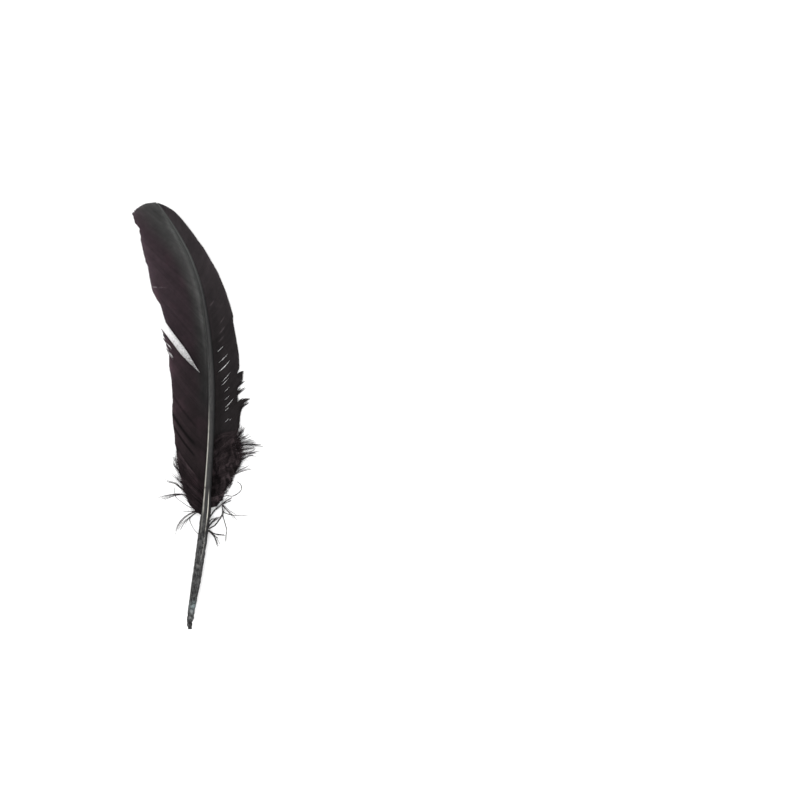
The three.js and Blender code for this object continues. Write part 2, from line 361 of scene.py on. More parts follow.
def top_relief(y, side):
    """The relief of the upper side, by the shaft's width: ridges rise, and groove, seam and pit sink in."""
    lower = float(ease((y - PIT) / 14) * ease((GROOVE_END - y) / 50))
    upper = float(ease((y - GROOVE_END) / 40) * ease((LENGTH - 4 - y) / 25))
    relief = lower * (RIDGE_HEIGHT * sum(hump(side, at, RIDGE_WIDTH) for at in RIDGE_SIDES))
    relief -= lower * GROOVE_DEPTH * hump(side, -0.05, 0.42)
    relief -= upper * SEAM_DEPTH * hump(side, SEAM_SIDE, 0.15)
    return relief - PIT_DEPTH * hump(y, PIT, 1.6) * hump(side, 0.15, 0.28)


def shaft_point(y, angle):
    """A point on the shaft's skin, by distance along it and angle round it from the narrow vane's side."""
    width = float(shaft_width(y))
    across = across_shaft(np.array([y]))[0]
    rachis = float(ease((y - PIT) / RACHIS_RUN))
    square = 1 - SQUARENESS * rachis
    side = math.copysign(abs(math.cos(angle)) ** square, math.cos(angle))
    top = math.copysign(abs(math.sin(angle)) ** square, math.sin(angle))
    relief = top_relief(y, side) if top > 0 else 0.0
    rough = noise.noise(Vector((y / DENT_LENGTH, DENT_TURN * math.cos(angle), DENT_TURN * math.sin(angle))))
    crimp = sum(depth * hump(y, at, CRIMP_LENGTH) for at, depth in CRIMPS)
    swell = 1 + crimp + DENT * (1 - 0.8 * rachis) * rough * min(1, 3 / width)
    sideways = side * width / 2 * swell
    upwards = (top / 2 * swell + relief) * width
    height = max(width / 2 + float(back_height(y)) + upwards, SURFACE_GAP)
    return Vector((float(shaft_x(y)) + across[0] * sideways, y + across[1] * sideways, height))


print("top of the quill at its middle:", round(shaft_point(QUILL_MIDDLE, math.pi / 2).z, 2), "mm")

# %% Extrude the shaft
SHAFT_SIDES = 40
CRIMPED_TO = 12
DENTED_TO = 72
stations = np.concatenate([
    np.arange(0, CRIMPED_TO, 0.4),
    np.arange(CRIMPED_TO, DENTED_TO, 0.9),
    np.linspace(DENTED_TO, LENGTH - 0.4, 140),
])

shaft_build = bmesh.new()
angle_of = shaft_build.verts.layers.float.new("turn")
station_of = shaft_build.verts.layers.float.new("station")
bmesh.ops.create_circle(shaft_build, segments=SHAFT_SIDES, radius=1)
for vert in shaft_build.verts:
    vert[angle_of] = math.atan2(vert.co.y, vert.co.x)
quill_rim = list(shaft_build.edges)
ring = quill_rim
for i, station in enumerate(stations):
    if i > 0:
        grown = bmesh.ops.extrude_edge_only(shaft_build, edges=ring)["geom"]
        ring = [e for e in grown if isinstance(e, bmesh.types.BMEdge)]
    for vert in {v for edge in ring for v in edge.verts}:
        vert[station_of] = station
        vert.co = shaft_point(station, vert[angle_of])
print(len(stations), "rings,", len(shaft_build.verts), "points")

# %% Close its two ends
# The quill's end is a small cup, as it is where a feather was pulled: its face is inset and pushed in.
CUP_WALL = 0.35
CUP_PUSH = (0.12, 1.2, 0)
bmesh.ops.contextual_create(shaft_build, geom=ring)
cup_face = bmesh.ops.contextual_create(shaft_build, geom=quill_rim)["faces"]
bmesh.ops.inset_region(shaft_build, faces=cup_face, thickness=CUP_WALL)
bmesh.ops.translate(shaft_build, verts=list(cup_face[0].verts), vec=CUP_PUSH)
bmesh.ops.recalc_face_normals(shaft_build, faces=shaft_build.faces)
print("closed:", all(edge.is_manifold for edge in shaft_build.edges))


# %% Put a piece in the scene
def show(name, mesh, node):
    """A finished mesh as a piece that stands for a solid and moves with it."""
    mesh.shade_smooth()
    piece = bpy.data.objects.new(name, mesh)
    scene.collection.objects.link(piece)
    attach(piece, "root")
    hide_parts(node)
    print(name, "has", sum(len(p.vertices) - 2 for p in mesh.polygons), "triangles")
    return piece


shaft_mesh = bpy.data.meshes.new("horn_shaft")
for vert in shaft_build.verts:
    vert.co = in_frame(vert.co)
shaft_build.to_mesh(shaft_mesh)
shaft_build.free()
show("horn_shaft", shaft_mesh, "shaft")

# %% [markdown]
# ## The finish of the horn
# Dye takes badly on horn. The shaft is a mottled dark grey with streaks along it, and on its ridges, where
# it was rubbed, the pale horn shows, brightened by a painted highlight. Near its end the dye has dried to a
# chalky, bluish patch. Painted shade darkens the rachis's right side, the shaft's flanks, the seam in its
# groove and the pit, and a scratch on the quill is partly a painted highlight. An image could hold all
# that, but it would need unwrapping. The shaft's own attributes, the station along it and the turn round
# it, place each mark instead, and noise makes it uneven.

# %% What the horn's marks are worked out from
horn, start = new_finish("dyed_horn")
station = start.attribute("station")
side = start.math("COSINE", start.attribute("turn"))
outer = start.math("ABSOLUTE", side)
place = start.node("ShaderNodeTexCoord", output="Object")
along_grain = start.node("ShaderNodeMapping", {}, {"Vector": place, "Scale": (1, 0.14, 1)})
streaks = along_grain.noise(1500, 4)
mottle = place.noise(520, 5, Roughness=0.7)
flecks = place.noise(1700, 3)


def stretch(first, full_from, full_to, last):
    """1 along a stretch of the shaft, coming in and going out softly at its two ends."""
    return station.step(first, full_from) * station.step(last, full_to)


def spot(along, length, across, width):
    """A soft spot on the shaft, by its place and size along it and across it."""
    return station.bump_at(along, length) * side.bump_at(across, width)


print("horn starts with", len(horn.node_tree.nodes), "nodes")

# %% The horn's marks
quill = station.step(76, 62)
left_line = side - station.step(86, 76) * 0.14
# The pale lines on the ridges are rubbed pale horn, made brighter by a painted highlight.
left_wear_and_highlight = left_line.bump_at(-0.6, 0.16) * station.step(158, 130)
left_wear_and_highlight = left_wear_and_highlight * (station.step(63, 68) * 0.16 + station.step(76, 86) * 0.84)
right_line = side + station.step(72, 84) * 0.13
right_wear_and_highlight = right_line.bump_at(0.46, 0.065) * stretch(65, 69, 85, 97)
right_wear_and_highlight = right_wear_and_highlight * (0.4 + station.step(72, 77) * 0.9)
wear_and_highlight = (left_wear_and_highlight * 0.72 + right_wear_and_highlight * 1.25) * (0.5 + streaks.step(0.3, 0.55) * 0.5)
# Painted shade: the seam along the rachis is a dark line, as shade in its groove.
seam = side.bump_at(SEAM_SIDE, 0.26) * stretch(165, 200, 275, 288)
# Painted shade: the rachis's right side is darker, as if lit from the left.
shaded = side.step(-0.5, 0.95) * (1 - quill)
# A wavy scratch on the quill's upper right, partly a painted highlight along the round quill.
scratch_and_highlight = (side + (mottle - 0.5) * 0.9).bump_at(0.45, 0.09) * stretch(46, 50, 62, 66)
# Painted shade: the pit is darker, as shade in its hollow.
pit = spot(PIT, 1.5, 0.12, 0.3)
mark = spot(44.7, 0.8, -0.1, 0.2)
mark_ring = spot(43.4, 1.0, -0.05, 0.35)
nick = spot(96, 0.5, -0.5, 0.4) + spot(113, 0.5, 0.4, 0.4)
bluish = station.bump_at(15.6, 3.2) * mottle.step(0.34, 0.56) * (0.35 + side.step(-0.3, 0.15) * 0.65)
chalk = spot(12.2, 1.3, 0.1, 0.5) + spot(8, 0.7, -0.1, 0.5) + spot(3.4, 0.9, -0.6, 0.35) * 0.8
fleck = flecks.step(0.6, 0.68) * quill + flecks.step(0.56, 0.63) * station.bump_at(73, 5)
# The crimped end is darker in mottled patches.
darker_end = station.step(6.6, 4.8) * mottle.step(0.62, 0.4)
# Painted shade: the quill's flanks and the rachis's foot are darker at their sides, as round sides turned
# from the light.
edge = outer.step(0.62, 1.0) * quill * 0.65 + outer.step(0.55, 0.82) * stretch(60, 67, 83, 93) * 0.8
print("its marks bring it to", len(horn.node_tree.nodes))

# %% The horn's colours, each over the ones before it
grain = (streaks * 0.5 + mottle * 0.5).step(0.42, 0.58)
rachis_grey = shaded.mix(grain.mix(srgb(54, 54, 54), srgb(70, 70, 69)), srgb(33, 33, 34))
rachis_grey = (station.step(215, 262) * 0.75).mix(rachis_grey, srgb(78, 79, 78))
rachis_grey = (station.step(104, 88) * 0.4).mix(rachis_grey, srgb(34, 33, 34))
colour = quill.mix(rachis_grey, grain.mix(srgb(20, 19, 20), srgb(80, 80, 80)))
for share, tint in (
    # the seam's painted shade
    (seam * 0.75, (26, 27, 27)),
    (bluish * 0.9, (134, 147, 149)),
    (fleck * 0.45, (122, 124, 124)),
    (chalk * mottle.step(0.3, 0.5) * 0.7, (150, 152, 152)),
    # the scratch with its painted highlight, and the real pale ring of a mark
    (scratch_and_highlight * 0.45 + mark_ring * 0.25, (176, 174, 170)),
    # the pit's painted shade, with real dark marks, nicks and the darker end
    (pit * 0.9 + mark * 0.8 + nick * 0.7 + darker_end * 0.6, (22, 20, 21)),
    # the flanks' painted shade
    (edge, (24, 23, 24)),
    # rubbed pale horn with a painted highlight
    (wear_and_highlight * (1 - nick * 0.7), (222, 218, 208)),
):
    colour = share.mix(colour, srgb(*tint))
uneven_skin = {"Strength": 0.35, "Distance": 0.0002, "Height": mottle + streaks}
close_finish(start, {
    "Base Color": colour,
    "Roughness": 0.4 + mottle * 0.2 + bluish * 0.3,
    "Specular IOR Level": 0.11,
    "Normal": start.node("ShaderNodeBump", {}, uneven_skin),
})
shaft_mesh.materials.append(horn)
print("horn has", len(horn.node_tree.nodes), "nodes")

# %% [markdown]
# ## Barbs
# A vane is a row of barbs that are hooked to each other. A barb is a flat blade with a ridge along it, and
# there are about two to a millimetre, so hundreds are needed. They are all one shape that follows one
# rule, which is a job for arrays: every barb is a row, every step along it is a column, and the whole
# vane is worked out at once and joined in one mesh.


# %% Strands from arrays
def unit(vectors):
    """Vectors at length 1."""
    return vectors / np.linalg.norm(vectors, axis=-1, keepdims=True)


class Strands:
    """Closed strands, gathered to be joined in one mesh."""

    def __init__(self):
        self.points = []
        self.faces = []
        self.tones = []
        self.count = 0

    def add(self, points, faces, tone):
        """Add strands: their points, groups of faces that count from their first point, and their tone."""
        for group in faces:
            self.faces.extend((group + self.count).tolist())
        self.tones.append(np.broadcast_to(tone, points.shape[:-1]).ravel())
        self.points.append(points.reshape(-1, 3))
        self.count += self.points[-1].shape[0]

    def mesh(self, name):
        """One mesh of all strands, with their tone and their distance right of the shaft as attributes."""
        points = np.concatenate(self.points)
        points[:, 2] = np.maximum(points[:, 2], SURFACE_GAP)
        joined = bpy.data.meshes.new(name)
        joined.from_pydata(in_frame(points), [], self.faces)
        beside = points[:, 0] - shaft_x(points[:, 1])
        for key, values in (("tone", np.concatenate(self.tones)), ("beside", beside)):
            layer = joined.attributes.new(key, "FLOAT", "POINT")
            layer.data.foreach_set("value", values.astype(np.float32))
        return joined


def tubes(paths, section, half_width, half_height, asides=None):
    """Closed tubes of one section round paths: their points by row, step and corner, and their faces."""
    ways = unit(np.gradient(paths, axis=1))
    if asides is None:
        asides = unit(np.cross((0.0, 0.0, 1.0), ways))
    ups = np.cross(ways, asides)
    across, upwards = np.array(section, float).T
    points = paths[:, :, None] + asides[:, :, None] * (half_width[..., None] * across)[..., None]
    points = points + ups[:, :, None] * (half_height[..., None] * upwards)[..., None]
    index = np.arange(points[..., 0].size).reshape(points.shape[:-1])
    near = index[:, :-1]
    far = index[:, 1:]
    sides = np.stack([near, np.roll(near, -1, 2), np.roll(far, -1, 2), far], -1)
    ends = np.concatenate([index[:, 0, ::-1], index[:, -1]])
    return points, (sides.reshape(-1, 4), ends)


BLADE = [(1, 0), (0, 1), (-1, 0), (0, -0.7)]
print("a blade has", len(BLADE), "corners")

# %% [markdown]
# ## Where barbs run
# Each vane is described by a few of its barbs. A row of its rim gives the root, which is the place along
# the shaft where the barb leaves it, and then x and y of its tip. All others lie between them, in a
# shallow bow. A vane leaves the shaft above its back, comes down to the surface, and its rim curls up a
# little.

# %% The two vanes and the two tufts
WIDE = {
    "side": -1,
    "bow": curve_through([(98, 0.05), (130, 0.045), (165, 0.008), (215, 0.012), (265, 0.04)]),
    "rim": [
        (98.6, -17.2, 125.8), (120.4, -18.8, 148.9), (139.4, -19.8, 170.7), (154.4, -21.9, 189.7),
        (165.2, -24.6, 205.4), (180.2, -27.6, 220.3), (193.1, -33.4, 234.6), (206, -36.6, 248.9),
        (229.2, -40, 264.5), (242.8, -43.2, 274), (256.4, -45.8, 282.9), (272, -39.9, 288.8),
        (288.6, -30.2, LENGTH),
    ],
}
NARROW = {
    "side": 1,
    "bow": curve_through([(120, 0.09), (LENGTH, 0.09)]),
    "rim": [
        (120.4, 27.2, 139.4), (142.1, 26.9, 162.5), (154.4, 26.9, 176.1), (165.2, 26.2, 188.4),
        (180.2, 24.5, 200.6), (193.1, 22.1, 214.2), (206, 18.4, 226), (229.2, 9.5, 246.8),
        (242.8, 2.4, 258.7), (256.4, -6.1, 270.6), (272, -17.1, 283.9), (288.6, -28.4, LENGTH - 0.5),
    ],
}
LEFT_TUFT = {
    "side": -1,
    "bow": curve_through([(75, 0.04), (98, 0.05)]),
    "rim": [
        (75, -6.1, 82), (81.5, -10.9, 92), (86.5, -14.2, 102.7), (92, -16.3, 114), (98.4, -17, 125.4),
    ],
}
RIGHT_TUFT = {
    "side": 1,
    "bow": curve_through([(66, 0.09), (120, 0.09)]),
    "rim": [
        (66.5, 8.8, 67.6), (78, 10.4, 81), (86, 15, 88.5), (95, 22.4, 103.4), (103, 28, 114),
        (111, 29.4, 125), (120.2, 27.2, 139.2),
    ],
}
ROOT_SEAT = 0.8
ROOT_RISE = 0.36
ROOT_REACH = 0.2
RIM_RISE = 0.075
RIM_FROM = 0.62
CLEAR = 0.3


def barbs(vane, roots, shares):
    """Barbs by root (rows) and share of the way to the rim (columns): points, and ways in the plane."""
    rim = np.array(vane["rim"], float)
    tips = np.stack([curve_through(rim[:, [0, 1]])(roots), curve_through(rim[:, [0, 2]])(roots)], -1)
    seat = vane["side"] * ROOT_SEAT * shaft_width(roots) / 2
    starts = np.stack([shaft_x(roots), roots], -1) + across_shaft(roots) * seat[:, None]
    chords = tips - starts
    bows = np.stack([chords[:, 1], -chords[:, 0]], -1) * (vane["side"] * vane["bow"](roots))[:, None]
    middles = starts + chords / 2 + 2 * bows
    s = shares[..., None]
    plane = (1 - s) ** 2 * starts[:, None] + 2 * s * (1 - s) * middles[:, None] + s**2 * tips[:, None]
    ways = unit((1 - s) * (middles - starts)[:, None] + s * (tips - middles)[:, None])
    rise = ROOT_RISE * shaft_width(roots)[:, None] * np.maximum(0, 1 - shares / ROOT_REACH) ** 2
    lengths = np.linalg.norm(chords, axis=-1)
    curl = RIM_RISE * lengths[:, None] * np.maximum(0, (shares - RIM_FROM) / (1 - RIM_FROM)) ** 2
    heights = back_height(plane[..., 1]) + rise + curl + CLEAR
    return np.concatenate([plane, heights[..., None]], -1), ways


def tipward(vane, ways):
    """The direction across barbs, towards the feather's tip."""
    aside = np.stack([-ways[..., 1], ways[..., 0]], -1) * vane["side"]
    return np.concatenate([aside, np.zeros_like(aside[..., :1])], -1)


some, _ = barbs(WIDE, np.array([150.0]), np.array([[0.0, 1.0]]))
print("a barb of the wide vane is", round(float(np.linalg.norm(some[0, 1] - some[0, 0])), 1), "mm long")

# %% [markdown]
# ## A web of barbs
# Barbs lie side by side with their edges just over each other, so a barb's width is worked out from the gap
# to its neighbour at every step. A vane that has been handled isn't even: some barbs end short, some are
# pushed aside and some are bent. Each vane passes those in as small functions of root and share.

# %% Barbs side by side
BARB_PITCH = 0.5
BARB_SHARES = np.concatenate([np.linspace(0, 0.72, 9), np.linspace(0.72, 1, 8)[1:]])
OUTER = 9  # from this step on, a barb is in its outer part, where its steps are shorter


def uneven(rng, roots, pitch, size):
    """Random values that change slowly from barb to barb."""
    knots = np.arange(roots[0] - pitch, roots[-1] + 2 * pitch, pitch)
    return np.interp(roots, knots, rng.normal(0, size, len(knots)))


def across_to_next(points):
    """The step across from each point of a barb to the barb beside it, above or below, that is nearer."""
    ways = unit(np.gradient(points, axis=1))
    steps = np.diff(points, axis=0)
    both = np.stack([np.concatenate([steps[:1], steps]), np.concatenate([steps, steps[-1:]])])
    both = both - (both * ways).sum(-1, keepdims=True) * ways
    below, above = np.linalg.norm(both, axis=-1)
    return np.where((below < above)[..., None], both[0], both[1])


print("barbs are", BARB_PITCH, "mm apart on the shaft, in", len(BARB_SHARES) - 1, "steps")

# %% Lay a web
OVERLAP = 0.8
RIDGE = 0.36
ASKEW = 0.08
ROUGH_RISE = 0.06
RAGGED_PITCH = 3
WAVES = (9, 0.16)  # pitch and size
WAVE_RISE = 6
SPARE = 1.1
NARROWEST = 0.9
WIDEST = 2.2
STREAKS = ((4, 0.07), (1.3, 0.045))  # pitch and size of each
OWN_STREAK = 0.07
VANE_TIPS = (0.004, 0.955, 0.5)
DOWN_TIPS = (0.06, 0.5, 0.85)
LOBED_TIPS = (0.05, 0.9, 0.5)


def lay_web(strands, vane, span, reach, seed, push=None, lift=None, shade=None, bend=None, tips=VANE_TIPS):
    """Add a vane's barbs between two roots to strands, cut to reach, pushed aside, lifted, shaded and bent.

    Tips give how unevenly the barbs end, the share from which they get narrower, and by how much.
    """
    ragged, narrow_from, narrowing = tips
    rng = np.random.default_rng(seed)
    roots = np.arange(span[0], span[1], BARB_PITCH)
    column = roots[:, None]
    ends = np.interp(roots, *np.array(reach, float).T) + rng.normal(0, ragged, len(roots))
    ends = ends + uneven(rng, roots, RAGGED_PITCH, ragged)
    shares = BARB_SHARES * ends[:, None]
    points, ways = barbs(vane, roots, shares)
    aside = tipward(vane, ways)
    even = np.abs((np.gradient(points, axis=0) * aside).sum(-1))
    offset = rng.normal(0, ASKEW, column.shape) * even * shares
    if push is not None:
        offset = offset + push(column, shares)
    points = points + aside * offset[..., None]
    points[..., 2] += rng.uniform(0, ROUGH_RISE, column.shape)
    points[..., 2] += WAVE_RISE * uneven(rng, roots, *WAVES)[:, None] ** 2 * ease((shares - 0.2) / 0.4)
    if lift is not None:
        points[..., 2] += lift(column, shares)
    swell = 1.0
    if bend is not None:
        move, swell = bend(roots, shares, points)
        points = points + move
    to_next = across_to_next(points)
    nearest = np.linalg.norm(to_next, axis=-1)
    # A blade lies in the web, turned towards its nearer neighbour. A little of aside settles it where the
    # two touch.
    flat = unit(to_next + 0.05 * aside) * vane["side"]
    spacing = np.clip(SPARE * nearest, NARROWEST * even, WIDEST * even) * swell
    taper = 1 - narrowing * ease((BARB_SHARES - narrow_from) / (1 - narrow_from))
    shell, faces = tubes(points, BLADE, OVERLAP * spacing * taper, RIDGE * spacing * taper, flat)
    streak = sum(uneven(rng, roots, pitch, size) for pitch, size in STREAKS)
    streak = streak + rng.normal(0, OWN_STREAK, len(roots))
    tone = np.broadcast_to(1 + streak[:, None], shares.shape)
    if shade is not None:
        tone = tone * shade(column, shares)
    strands.add(shell, faces, tone[..., None])
    return points


print("the ends of vane barbs differ by", VANE_TIPS[0], "of their length, those of down by", DOWN_TIPS[0])

# %% [markdown]
# ## Barbules
# Where barbs have come unhooked, their barbules stand off on all sides as fine needles, and it is these
# that blur a feather's outline. Blender's particle hair could grow them, but hair is no mesh, and is lost
# when the feather is exported. So each needle is a closed spike. It has only four faces, because there are
# tens of thousands of needles.

# %% Needles along a barb
NEEDLE_ROLL = 0.55
NEEDLE_ANGLES = (0.6, 1.4)
NEEDLE_SIZES = (0.6, 1.2)
TIP_SHORTER = 0.75
NEEDLE_GAP = 0.08
ANY_WAY = (0.3, 0.5, 0.8)  # a direction to start from in finding two that cross a needle


def needles(strands, paths, count, length, thickness, spread, seed, tone):
    """Add barbules to paths: spikes that stand off at an angle, and get shorter towards the tip."""
    rng = np.random.default_rng(seed)
    rows, steps = paths.shape[:2]
    at = (np.arange(count) + rng.random((rows, count))) / count
    step = np.minimum((at * (steps - 1)).astype(int), steps - 2)
    part = (at * (steps - 1) - step)[..., None]
    row = np.arange(rows)[:, None]
    feet = paths[row, step] * (1 - part) + paths[row, step + 1] * part
    ways = unit(paths[row, step + 1] - paths[row, step])
    asides = unit(np.cross((0.0, 0.0, 1.0), ways))
    ups = np.cross(ways, asides)
    roll = rng.normal(0, NEEDLE_ROLL, (rows, count, 1)) + np.pi * (np.arange(count) % 2)[:, None]
    angle = spread * rng.uniform(*NEEDLE_ANGLES, (rows, count, 1))
    out = ways * np.cos(angle) + (asides * np.cos(roll) + ups * np.sin(roll)) * np.sin(angle)
    size = length * rng.uniform(*NEEDLE_SIZES, (rows, count, 1)) * (1 - TIP_SHORTER * at[..., None] ** 3)
    tips = feet + out * size
    tips[..., 2] = np.maximum(tips[..., 2], NEEDLE_GAP)
    first = unit(np.cross(out, ANY_WAY))
    second = np.cross(out, first)
    turns = np.arange(3) * 2 * np.pi / 3
    circle = first[:, :, None] * np.cos(turns)[:, None] + second[:, :, None] * np.sin(turns)[:, None]
    base = feet[:, :, None] + thickness * circle
    points = np.concatenate([base, tips[:, :, None]], 2)
    index = np.arange(rows * count * 4).reshape(-1, 4)
    faces = np.concatenate([index[:, corners] for corners in ((2, 1, 0), (0, 1, 3), (1, 2, 3), (2, 0, 3))])
    strands.add(points, (faces,), np.reshape(tone, (-1, 1, 1)))


print("a needle has 4 faces")

# %% Thin stems
STEM = [(1, 0), (-0.5, 0.87), (-0.5, -0.87)]


def stems(strands, paths, radius, slim, tone):
    """Add the stems of barbs as thin three-sided tubes, slimmer at their tips by a share."""
    taper = np.reshape(radius, (-1, 1)) * np.linspace(1, slim, paths.shape[1]) * np.ones(paths.shape[:2])
    points, faces = tubes(paths, STEM, taper, taper)
    strands.add(points, faces, np.reshape(tone, (-1, 1, 1)))


print("a stem has", len(STEM), "sides")

# %% [markdown]
# ## The wide vane
# One long split runs from the rim almost to the shaft. Its barbs are all still there: they only crowd
# together on both sides of it, and a haze of long, thin barbules reaches across from both of its lips; the
# haze is dense enough to stand in for the shade on the floor inside the split. Just below the split a few
# barb ends have come unhooked, and lower down folds show as dark lines, where one lock of barbs tucks under
# the next: each lock is lifted a little, and the shade below it and the sheen on its crest are painted into
# the barbs' tone.

# %% Split, folds and frayed ends
WIDE_SPAN = (98.5, 288.7)
WIDE_REACH = [
    (98, 1.01), (105, 0.985), (111, 1.03), (120, 1.015), (127, 0.985), (138, 0.99), (146, 1.02),
    (153, 0.97), (157, 1.0), (171, 0.99), (181, 0.98), (182, 1.03), (186, 1.05), (192, 1.005),
    (204.5, 0.975), (206, 1.0), (212, 1.015), (228, 1.01), (244, 0.935), (245, 1.0), (252, 0.985),
    (256, 1.005), (259, 0.975), (267, 0.965), (276, 0.965), (283, 0.98), (289, 1.0),
]
SPLIT_ROOT = 166.0
SPLIT_WIDTH = curve_through([(0.18, 0), (0.28, 1.2), (0.42, 3.4), (0.56, 4.7), (0.78, 4.7), (1, 4.8)])
SPLIT_CROWD = 7.0
LIP_LIFT = 3.0
FRAY = (152.0, 164.0)
FRAY_SIZE = 0.5
FOLDS = ((99.0, 0.4), (110.5, 1.0), (118.0, 1.0), (130.5, 0.5))  # root and strength of each
FOLD_LIFT = 0.5


def part_wide(roots, shares):
    """How far the wide vane's barbs are pushed aside by the split and the frayed ends."""
    above = np.where(roots > SPLIT_ROOT, 1.0, -1.0)
    parted = above * SPLIT_WIDTH(shares) / 2 * np.exp(-np.abs(roots - SPLIT_ROOT) / SPLIT_CROWD)
    frayed = ease((roots - FRAY[0]) / 2) * ease((FRAY[1] - roots) / 1.5)
    flick = np.sin(roots * 4.1) + 0.7 * np.sin(roots * 9.7)
    return parted + FRAY_SIZE * frayed * flick * ease((shares - 0.78) / 0.22)


def lift_wide(roots, shares):
    """How far the wide vane's barbs rise at the split's lips and over the folds."""
    lips = LIP_LIFT * np.exp(-np.abs(roots - SPLIT_ROOT) / 6) * ease((shares - 0.15) / 0.3)
    over = sum(size * np.where(roots > at, np.exp((at - roots) / 3.5), 0) for at, size in FOLDS)
    return lips + FOLD_LIFT * over * ease((shares - 0.2) / 0.3)


print("the split opens", round(float(SPLIT_WIDTH(1.0)), 1), "mm at the rim;", len(FOLDS), "folds")

# %% The wide vane's tone
WIDE_TONE = curve_through([
    (0, 0.95), (0.1, 0.85), (0.25, 0.68), (0.45, 0.7), (0.7, 0.95), (0.88, 1.25), (1, 2.2),
])
WIDE_ALONG = curve_through([
    (98, 0.8), (102, 1.0), (108, 1.22), (118, 0.9), (138, 0.86), (152, 0.96), (255, 0.97), (275, 0.7),
])


def shade_wide(roots, shares):
    """The wide vane's tone: paler to its rim, with painted shade in folds and painted sheen on crests."""
    # Painted shade just below each fold, and a painted sheen on its crest.
    fold_shade = sum(size * np.exp(-(((roots - at + 0.5) / 1.2) ** 2)) for at, size in FOLDS)
    crest_sheen = sum(size * np.exp(-(((roots - at - 2.6) / 1.8) ** 2)) for at, size in FOLDS)
    folded = (1 - 0.88 * fold_shade) * (1 + 0.35 * crest_sheen) - 1
    return WIDE_TONE(shares) * WIDE_ALONG(roots) * (1 + folded * ease((shares - 0.2) / 0.2))


print("its rim is", round(float(WIDE_TONE(1.0) / WIDE_TONE(0.25)), 1), "times as pale as its middle")

# %% Lay the wide vane
wide_strands = Strands()
wide_web = lay_web(
    wide_strands, WIDE, WIDE_SPAN, WIDE_REACH, seed=11, push=part_wide, lift=lift_wide, shade=shade_wide,
)
lips = np.array([SPLIT_ROOT - 0.3, SPLIT_ROOT + 0.3])
lip_shares = np.tile(np.linspace(0.28, 0.97, 24), (2, 1))
lip_paths, lip_ways = barbs(WIDE, lips, lip_shares)
lip_paths = lip_paths + tipward(WIDE, lip_ways) * part_wide(lips[:, None], lip_shares)[..., None]
lip_paths[..., 2] += lift_wide(lips[:, None], lip_shares)
# These barbules are also a dark veil that stands in for the shade on the floor inside the split.
needles(wide_strands, lip_paths, count=260, length=5.5, thickness=0.04, spread=1.2, seed=12, tone=0.8)
wide_piece = show("wide_vane_barbs", wide_strands.mesh("wide_vane_barbs"), "wide_vane")
print(len(wide_web), "barbs in the wide vane")

# %% [markdown]
# ## The narrow vane
# Its barbs have parted in a row of short slits that are closed at both ends. A slit pushes its neighbours
# apart in the middle of their length. Above the slits a few barbs only show as short pale ticks. Three
# locks at the rim have come loose and point out sideways: a loose barb is drawn from its place on the rim
# to a tip of its own.

# %% Slits and loose locks
NARROW_SPAN = (120.3, 288.7)
NARROW_REACH = [
    (120, 0.98), (154, 0.97), (160, 0.98), (170, 0.97), (178, 0.95), (187, 0.93), (191, 0.94),
    (192, 0.99), (205, 1.0), (214, 1.03), (226, 1.03), (235, 0.97), (241, 1.02), (250, 0.99),
    (257, 1.02), (268, 0.95), (277, 0.96), (283, 1.05), (288, 1.15),
]
SLITS = [  # root, first and last share, and width
    (186.2, 0.08, 0.43, 0.56), (178.4, 0.11, 0.52, 0.58), (172.5, 0.05, 0.56, 0.64),
    (164, 0.16, 0.55, 0.5), (161.9, 0.15, 0.47, 0.5), (155.8, 0.24, 0.5, 0.48),
    (150.3, 0.24, 0.52, 0.48), (145.2, 0.3, 0.68, 0.6), (143.2, 0.28, 0.52, 0.52),
    (135.4, 0.3, 0.5, 0.5), (133.6, 0.45, 0.62, 0.48),
]
SLIT_CROWD = 1.4
LOOSE_FROM = 0.78
LOOSE_TIPS = [  # root, and x and y of the tip
    (121.5, 27, 141.1), (124, 27, 144.8), (127, 27.9, 148.6), (130, 28.8, 151.4), (132, 30.6, 152.5),
    (134, 33.5, 153.6), (135.2, 31.6, 155), (137, 34.5, 156.8), (138.6, 31, 157.2), (139.4, 25, 156.9),
    (142.5, 24.9, 160.1), (142.8, 26.6, 161.2), (143.6, 30.4, 163.3), (144.8, 32.6, 164.3),
    (145.6, 29.4, 164.2), (146, 25, 163.4), (147.4, 25.6, 165.6), (147.8, 27.9, 166.7),
    (148.8, 30.9, 168.7), (149.6, 28.8, 168.4), (150, 28.7, 169.3), (152, 29, 170.9),
    (154, 29.2, 173.4), (155.6, 29.6, 175.8), (156.6, 27.5, 175.1),
]


def part_narrow(roots, shares):
    """How far the narrow vane's barbs are pushed aside by its slits."""
    push = np.zeros(np.broadcast_shapes(roots.shape, shares.shape))
    for root, first, last, width in SLITS:
        middle = (first + last) / 2
        lens = width * np.sqrt(np.maximum(0, 1 - (2 * (shares - middle) / (last - first)) ** 2))
        above = np.where(roots > root, 1.0, -1.0)
        push = push + above * lens / 2 * np.exp(-np.abs(roots - root) / SLIT_CROWD)
    return push


def loosen(roots, shares, points):
    """Draw the loose barbs out to tips of their own, and make them slimmer on the way."""
    at, tip_x, tip_y = np.array(LOOSE_TIPS).T
    goals = np.stack([np.interp(roots, at, tip_x), np.interp(roots, at, tip_y)], -1)
    held = (roots >= at[0]) & (roots <= at[-1])
    pull = np.maximum(0, (BARB_SHARES - LOOSE_FROM) / (1 - LOOSE_FROM)) ** 1.5 * held[:, None]
    move = np.zeros_like(points)
    move[..., :2] = pull[..., None] * (goals - points[:, -1, :2])[:, None]
    return move, 1 - 0.2 * pull


print(len(SLITS), "slits, and loose tips from root", LOOSE_TIPS[0][0], "to", LOOSE_TIPS[-1][0])

